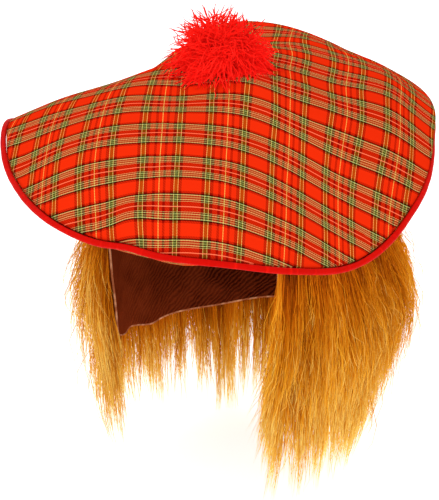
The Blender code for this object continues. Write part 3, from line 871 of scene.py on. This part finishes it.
def make_piping(trim):
    """Lay a lumpy cord along the rim."""
    middle = crown_grid(RIM_AZIMUTHS, np.array([CROWN_RADIUS]))[:, 0]
    # at the left back of the rim the crown hangs over its piping
    lip = rim_lip(RIM_AZIMUTHS)
    middle += plan(RIM_AZIMUTHS, PIPING_OUTSET - lip * LIP_TUCK)
    middle[:, 2] -= lip * LIP_SINK
    ahead = units(np.roll(middle, -1, 0) - np.roll(middle, 1, 0))
    out = plan(RIM_AZIMUTHS, 1.0)
    out = units(out - ahead * (out * ahead).sum(1, keepdims=True))
    up = np.cross(ahead, out)
    up *= np.sign(up[:, 2:])
    work = bmesh.new()
    upright = Matrix.Rotation(math.radians(90), 4, "Y")
    bmesh.ops.create_circle(work, cap_ends=False, segments=PIPING_SIDES, radius=1.0,
                            matrix=Matrix.Translation((0, -PIPING_SPUN, 0)) @ upright)
    spin(work, 360.0, RIM_SECTORS)
    layer = work.loops.layers.uv.new("cloth")
    bmesh.ops.recalc_face_normals(work, faces=work.faces)
    spots = {}
    for vert in work.verts:
        column = column_of(vert.co, RIM_SECTORS)
        angle = math.atan2(vert.co.z, math.hypot(vert.co.x, vert.co.y) - PIPING_SPUN)
        lump = noise.noise(Vector(middle[column]) / LUMP_LENGTH) * LUMP_SHARE + 1.0
        reach = trim.piping_radius * lump * (1 - LIP_SLIM * lip[column])
        spots[vert] = column, angle
        vert.co = Vector(middle[column] + (out[column] * math.cos(angle)
                                           + up[column] * math.sin(angle)) * reach)
    for face in work.faces:
        columns, angles = zip(*(spots[loop.vert] for loop in face.loops))
        for loop, column, angle in zip(face.loops, columns, angles):
            # the last column's faces and the seam along the piping run on, not back
            if max(columns) - min(columns) > RIM_SECTORS / 2 and column == 0:
                column = RIM_SECTORS
            if max(angles) - min(angles) > math.pi and angle < 0:
                angle += 2 * math.pi
            loop[layer].uv = (column / RIM_SECTORS, angle / (2 * math.pi) * 0.9 + 0.5)
    return new_piece(to_mesh(work, "piping_satin"), piping_material(trim),
                     "rim_piping")


class TAM_OT_cap(bpy.types.Operator):
    """Make the crown and the underside of tartan, and the satin piping in their seam"""
    bl_idname = "tam.cap"
    bl_label = "Tartan cap"

    def execute(self, context):
        crown = make_crown(context.scene.tam_tartan)
        underside = make_underside(context.scene.tam_tartan)
        piping = make_piping(context.scene.tam_trim)
        return {"FINISHED"}


class TAM_OT_backing(bpy.types.Operator):
    """Make the knitted backing that carries the hair"""
    bl_idname = "tam.backing"
    bl_label = "Hair backing"

    def execute(self, context):
        trim = context.scene.tam_trim
        azimuths = BACKING_FROM + BACKING_TURN * np.arange(BACKING_COLUMNS) / (BACKING_COLUMNS - 1)
        t = np.append(np.linspace(0.0, 1.0 - FRAYED, BACKING_ROWS - 1), 1.0)
        depth = BACKING_TOP + (strip_length(azimuths)[:, None] - BACKING_TOP) * t[None]
        grid = strip_point(azimuths[:, None], depth)
        grid += plan(azimuths, 1.0)[:, None] * (wander(grid, 26 * MM, seed=5.0)
                                                * BACKING_WAVER)[..., None]
        cloth = np.stack(np.broadcast_arrays(
            (azimuths[:, None] - BACKING_FROM) / BACKING_TURN, depth / DEPTH_SPAN), -1)
        mesh = spun_sheet("backing_knit", grid, cloth, BACKING_FROM, BACKING_TURN)
        inner, edge = backing_materials(trim)
        piece = new_piece(mesh, inner, "hair_backing")
        mesh.materials.append(edge)
        hem = strip_length(BACKING_FROM + BACKING_TURN * np.linspace(0, 1, 2 * BACKING_COLUMNS))
        for face in mesh.polygons:
            x, y = np.mean([mesh.uv_layers[0].uv[k].vector for k in face.loop_indices], axis=0)
            if hem[int(x * len(hem))] - y * DEPTH_SPAN < FRAYED * DEPTH_SPAN:
                face.material_index = 1
        thicken(piece, trim.backing_thickness, rim=1)
        return {"FINISHED"}


# Where fibres or locks are rooted, and how each differs from the rest
Roots = namedtuple("Roots", "azimuth share shift stretch swell tone gather")


def roots(count, chance):
    """Roots spread over the backing, a few more at its two ends, with their own chances."""
    marks = BACKING_FROM + 0.15 + (BACKING_TURN - 0.3) * np.arange(200) / 199
    density = open_curve(HAIR_ROWS, "density", marks)
    density[:END_MARKS] += FIRST_MORE
    density[-END_MARKS:] += LAST_MORE
    upto = np.cumsum(density)
    return Roots(
        azimuth=np.interp(chance.random(count) * upto[-1], upto, marks),
        share=np.where(chance.random(count) < HEM_SHARE, chance.uniform(0.86, 0.99, count),
                       0.98 * chance.random(count)),
        shift=chance.normal(0, 1.0, count),
        stretch=chance.uniform(0.80, 1.10, count),
        swell=chance.uniform(0.50, 1.13, count),
        tone=chance.normal(0, 1.0, count),
        gather=np.zeros(count),
    )


def tassels(azimuth, count, chance):
    """Share the hair out in tassels: a fibre's stretch, its way to the tip in degrees, its hue."""
    spread = np.arange(count) + chance.uniform(0.1, 0.9, count)
    middles = BACKING_FROM + BACKING_TURN * spread / count
    owner = np.argmin(np.abs(azimuth[:, None] - middles[None]), axis=1)
    stretch = chance.uniform(0.74, 1.13, count)
    tips = middles + chance.normal(0, 1.2, count)
    return stretch[owner], tips[owner] - azimuth, chance.normal(0, 1, count)[owner]


def nearest(fibres, locks):
    """The lock whose root is nearest to each fibre's own."""
    owner = np.empty(len(fibres.azimuth), int)
    around = HEAD_HALF_LENGTH * math.pi / 180
    for k in range(0, len(owner), 1000):
        part = slice(k, k + 1000)
        dx = (fibres.azimuth[part, None] - locks.azimuth) * around
        dy = (fibres.share[part, None] - locks.share) * 0.12
        owner[part] = np.argmin(dx * dx + dy * dy * 0.5, axis=1)
    return owner


def along(guides, u):
    """Points of each guide at shares of its length."""
    place = np.clip(u, 0.0, 1.0) * (HAIR_STATIONS - 1)
    k = np.minimum(place.astype(int), HAIR_STATIONS - 2)
    t = (place - k)[..., None]
    row = np.arange(len(guides))[:, None]
    return guides[row, k] * (1 - t) + guides[row, k + 1] * t


def hang(hair):
    """Paths of hair: each leaves the backing under the hair above it and ends at the outside."""
    azimuth = hair.azimuth
    u = (np.arange(HAIR_STATIONS) / (HAIR_STATIONS - 1))[None]
    length = open_curve(HAIR_ROWS, "length", azimuth) * MM * hair.stretch
    root = BACKING_TOP + (strip_length(azimuth) - BACKING_TOP) * hair.share
    depth = root[:, None] + length[:, None] * (u - 0.04 * np.sin(math.pi * u))
    stand = open_curve(PILE_ROWS, "stand", depth / MM) * MM
    swell = np.clip(hair.swell, 0.03, 1.3)
    stand *= (open_curve(HAIR_ROWS, "stand", azimuth) * swell)[:, None]
    # the ends of the strip fan out over the face opening
    near = np.clip(1 - (azimuth - BACKING_FROM) / END_FAN, 0, 1)
    far = np.clip(1 - (360 - BACKING_FROM - azimuth) / END_FAN, 0, 1)
    fan = far ** 2 * END_FAN_LAST - near ** 2 * END_FAN_TURN
    turn = azimuth[:, None] + (hair.shift * LOCK_SHIFT + fan)[:, None] * u ** 1.5
    turn += hair.gather[:, None] * u ** 1.6
    # from the middle of the backing's wall out through its face, then away from it
    outset = 1.0 * MM + 1.2 * MM * np.minimum(u * 8, 1.0) + stand * (1 - (1 - u) ** 2)
    return strip_point(turn, depth, outset)


class TAM_OT_hair(bpy.types.Operator):
    """Grow the hair from the backing, gathered in tapered locks"""
    bl_idname = "tam.hair"
    bl_label = "Hair"

    def execute(self, context):
        settings = context.scene.tam_hair
        chance = np.random.default_rng(11)
        count = settings.fibres
        fibres = roots(count, chance)
        fine = roots(settings.locks, chance)
        owner = nearest(fibres, fine)
        lock = Roots(*(values[owner] for values in fine))
        tassel, across, hue = tassels(fibres.azimuth, settings.tassels, chance)
        thin = np.clip((fibres.azimuth - THIN_FROM) / THIN_SPREAD, 0, 1)
        loose = chance.random(count) < LOOSE + LOOSE_THIN * thin
        stray = np.where(loose, LOOSE_STRAY, 1.0)
        shift = 0.7 * lock.shift + chance.normal(0, 0.6, count) * stray
        stretch = tassel * (0.5 + 0.5 * lock.stretch)
        stretch *= LONGEST - LENGTH_RANGE * chance.random(count)
        # hair from low down fills the inside of the pile, down to the strip's own line
        low = np.clip((fibres.share - 0.25 + 0.2 * thin) / 0.55, 0, 1)
        inside = low * chance.random(count) ** (1 - 0.5 * thin)
        swell = lock.swell * (1.0 - 0.95 * inside) + chance.normal(0, 0.09, count) * stray
        gather = across * chance.uniform(0.6, 1.1, count) * (0.55 + 0.45 * low)
        gather[loose] *= LOOSE_HOLD
        # what bends far to its tassel's tip ends a little higher
        stretch = np.minimum(stretch * (1.0 - 0.08 * np.abs(across) * low), LENGTH_LIMIT)

        u = np.arange(HAIR_STATIONS) / (HAIR_STATIONS - 1)
        paths = hang(fibres._replace(shift=shift, stretch=stretch, swell=swell, gather=gather))
        hold = chance.uniform(*LOCK_HOLD, count)[:, None] * u ** 0.9 * (1.0 - inside)[:, None]
        hold[loose] *= LOOSE_HOLD
        shorter = (stretch / lock.stretch)[:, None] * u
        paths += (along(hang(fine)[owner], shorter) - paths) * hold[..., None]
        waves = chance.normal(0, 1, (count, 3, 2))
        phase = chance.uniform(0, 6.28, (count, 1, 2))
        swing = np.sin(u[None, :, None] * WAVE_BEATS + phase)
        # close to the backing the waves are small, so that no hair shows on its inside
        size = WAVE_SIZES * (stray * (1.0 - 0.8 * inside))[:, None, None]
        paths += np.einsum("fcw,fuw->fuc", waves, swing * size * u[None, :, None])
        paths += chance.normal(0, KINK, paths.shape) * u[None, :, None]
        thick = settings.radius * chance.uniform(0.7, 1.25, count)[:, None]
        radii = thick * (1.0 - FIBRE_TAPER * u[None] ** 2.4)

        # painted shade: fibres at the parting are darker, where the pile falls open
        parting_shade = np.exp(-((fibres.azimuth - PARTING) / PARTING_SPREAD) ** 2)
        # painted shade: fibres at the strip's last end are darker, by its cut edge
        last = np.exp(-((360 - BACKING_FROM - fibres.azimuth) / LAST_SHADE_SPREAD) ** 2)
        tones = 0.36 + lock.tone * 0.20 + hue * 0.15 - 0.36 * parting_shade - 0.26 * last
        tones = np.clip(tones + chance.normal(0, 0.17, count), 0.0, 1.0)
        # only the lowest hair and the hair of the thin end show their pale tips
        ends = 0.74 + 0.26 * np.maximum(fibres.share ** 1.2, 0.8 * thin)
        # loose hairs are fair, as thin hair is against the light
        tones = np.clip(tones + 0.08 * loose, 0.0, 1.0)
        ends = np.where(loose, 0.88, ends)
        material = hair_material("ginger_hair", settings)
        for part in HAIR_PARTS:
            chosen = (fibres.azimuth >= part.first) & (fibres.azimuth < part.last)
            mesh = fibre_mesh(f"hair_{part.name}", paths[chosen], radii[chosen], tones[chosen],
                              ends[chosen])
            new_piece(mesh, material, "hair")
        return {"FINISHED"}


def cloth_top(points):
    """Height of the crown's cloth under points."""
    x = points[..., 0] - CROWN_SHIFT.x
    y = points[..., 1] - CROWN_SHIFT.y
    azimuth = np.degrees(np.arctan2(x, -y))
    return APEX_HEIGHT - crown_drop(azimuth, np.hypot(x, y)) + SEAM_SPREAD + CLOTH / 2


class TAM_OT_pompom(bpy.types.Operator):
    """Make the pompom of crinkled yarn tufts"""
    bl_idname = "tam.pompom"
    bl_label = "Pompom"

    def execute(self, context):
        settings = context.scene.tam_pompom
        chance = np.random.default_rng(5)
        tufts = settings.tufts
        k = np.arange(tufts) + 0.5
        height = POM_LOWEST + (1.0 - POM_LOWEST) * (1 - k / tufts)
        climb = np.arcsin(np.clip(height + chance.normal(0, 0.05, tufts), -0.38, 1.0))
        turn = k * math.pi * (3 - math.sqrt(5)) + chance.normal(0, 0.15, tufts)
        heads = np.stack([np.cos(climb) * np.cos(turn), np.cos(climb) * np.sin(turn),
                          np.sin(climb)], -1)
        reach = chance.uniform(0.84, 1.06, tufts)
        for spray in POM_SPRAYS:
            way = np.array(Vector(spray[:3]).normalized())
            reach *= 1 + spray.longer * np.clip(heads @ way, 0.0, 1.0) ** 5
        bend = units(np.cross(heads, chance.normal(0, 1, (tufts, 3))))
        owner = np.repeat(np.arange(tufts), settings.yarns)
        count = len(owner)
        # a yarn leaves the middle wide of its tuft's head, and ends nearer to it
        start = units(heads[owner] + chance.normal(0, 0.40, (count, 3)))
        finish = units(heads[owner] + chance.normal(0, 0.20, (count, 3)))
        u = (np.arange(POM_STATIONS) / (POM_STATIONS - 1))[None, :, None]
        way = start[:, None] * (1 - u) + finish[:, None] * u
        far = (reach[owner] * chance.uniform(0.74, 1.10, count))[:, None, None]
        size = np.array((POM_RADIUS, POM_RADIUS, POM_HALF_HEIGHT))
        paths = np.array(POM_CENTRE) + way * size * far * (0.12 + 0.88 * u)
        swirl = (bend[owner] * chance.uniform(0.5, 1.3, (count, 1)))[:, None]
        paths += swirl * np.sin(math.pi * u) * POM_SWIRL
        paths[..., 2] -= POM_DROOP * u[..., 0] ** 2 * (1 - heads[owner, 2])[:, None]
        phase = chance.uniform(0, 6.28, (count, 1, 2))
        beat = chance.uniform(12.0, 22.0, (count, 1, 2))
        crinkle = np.sin(u * beat + phase) * POM_CRINKLE * np.minimum(u * 2.5, 1.0)
        sway = chance.normal(0, 1, (count, 2, 3))
        paths += np.einsum("fuw,fwc->fuc", crinkle, sway)
        paths[..., 2] = np.maximum(paths[..., 2], cloth_top(paths) + POM_CLEAR)
        thick = settings.radius * chance.uniform(0.75, 1.2, count)[:, None]
        radii = thick * (1 - FIBRE_TAPER * u[..., 0] ** 3)
        mesh = fibre_mesh("pompom_yarn", paths, radii, chance.random(count))
        new_piece(mesh, yarn_material(settings), "pompom")
        return {"FINISHED"}


def make_floor(settings):
    """Lay wide pale paper just below the hair."""
    work = bmesh.new()
    bmesh.ops.create_grid(work, x_segments=1, y_segments=1, size=settings.floor_width / 2,
                          matrix=Matrix.Translation((0, 0, CAD_LOW.z - 4 * MM)))
    mesh = to_mesh(work, "floor")
    paper = Surface("pale_paper")
    colour = paper.mix(paper.noise(3.0, 2.0), (0.93, 0.93, 0.93), (0.95, 0.95, 0.95))
    mesh.materials.append(paper.finish(colour, 0.9, Specular_IOR_Level=0.1,
                                       Emission_Color=(1.0, 1.0, 1.0),
                                       Emission_Strength=settings.floor_glow))
    show("floor", mesh)


def make_lights(scene, settings):
    """Set a white sky and two soft lights."""
    world = bpy.data.worlds.new("studio")
    world.use_nodes = True
    sky = world.node_tree.nodes["Background"]
    sky.inputs["Color"].default_value = (1.0, 1.0, 1.0, 1.0)
    sky.inputs["Strength"].default_value = settings.world
    scene.world = world
    area("key", Vector((-0.15, -0.75, 1.35)), 0.9, settings.key)
    area("fill", Vector((1.3, -0.5, 0.7)), 1.2, settings.fill)


def area(name, place, size, power):
    """Hang a square light that shines at the hat."""
    light = bpy.data.lights.new(name, "AREA")
    light.size = size
    light.energy = power
    aim(show(name, light), place, Vector())


def aim(thing, place, target):
    """Set a light or a camera at a place, turned to a target."""
    thing.location = place
    thing.rotation_euler = (target - place).to_track_quat("-Z", "Y").to_euler()


def make_camera(scene):
    """Look at the hat from the photo's angle."""
    camera = bpy.data.cameras.new("camera")
    camera.lens = LENS_MM
    camera.sensor_width = 36.0
    camera.clip_end = 50.0
    scene.camera = show("camera", camera)
    aim(scene.camera, CAMERA_PLACE, CAMERA_AIM)


class TAM_OT_stage(bpy.types.Operator):
    """Set the pale floor, the soft lights and the camera"""
    bl_idname = "tam.stage"
    bl_label = "Stage"

    def execute(self, context):
        settings = context.scene.tam_stage
        make_floor(settings)
        make_lights(context.scene, settings)
        make_camera(context.scene)
        context.scene.view_settings.view_transform = "Standard"
        return {"FINISHED"}


PARTS = table(
    "name settings operator",
    ("tam_tartan", TamTartanSettings, TAM_OT_cap),
    ("tam_trim", TamTrimSettings, TAM_OT_backing),
    ("tam_hair", TamHairSettings, TAM_OT_hair),
    ("tam_pompom", TamPompomSettings, TAM_OT_pompom),
    ("tam_stage", TamStageSettings, TAM_OT_stage),
)


class TAM_PT_panel(bpy.types.Panel):
    """Sidebar panel that lists the pieces"""
    bl_idname = "TAM_PT_panel"
    bl_label = "Tam o' Shanter"
    bl_space_type = "VIEW_3D"
    bl_region_type = "UI"
    bl_category = "Tam"

    def draw(self, context):
        for part in PARTS:
            box = self.layout.box()
            for key in part.settings.__annotations__:
                box.prop(getattr(context.scene, part.name), key)
            box.operator(part.operator.bl_idname)


def register():
    for part in PARTS:
        bpy.utils.register_class(part.settings)
        bpy.utils.register_class(part.operator)
        setattr(bpy.types.Scene, part.name, PointerProperty(type=part.settings))
    bpy.utils.register_class(TAM_PT_panel)


def unregister():
    bpy.utils.unregister_class(TAM_PT_panel)
    for part in reversed(PARTS):
        delattr(bpy.types.Scene, part.name)
        bpy.utils.unregister_class(part.operator)
        bpy.utils.unregister_class(part.settings)


def main():
    register()
    bpy.ops.tam.cap()
    bpy.ops.tam.backing()
    bpy.ops.tam.hair()
    bpy.ops.tam.pompom()
    bpy.ops.tam.stage()


if __name__ == "__main__":
    main()
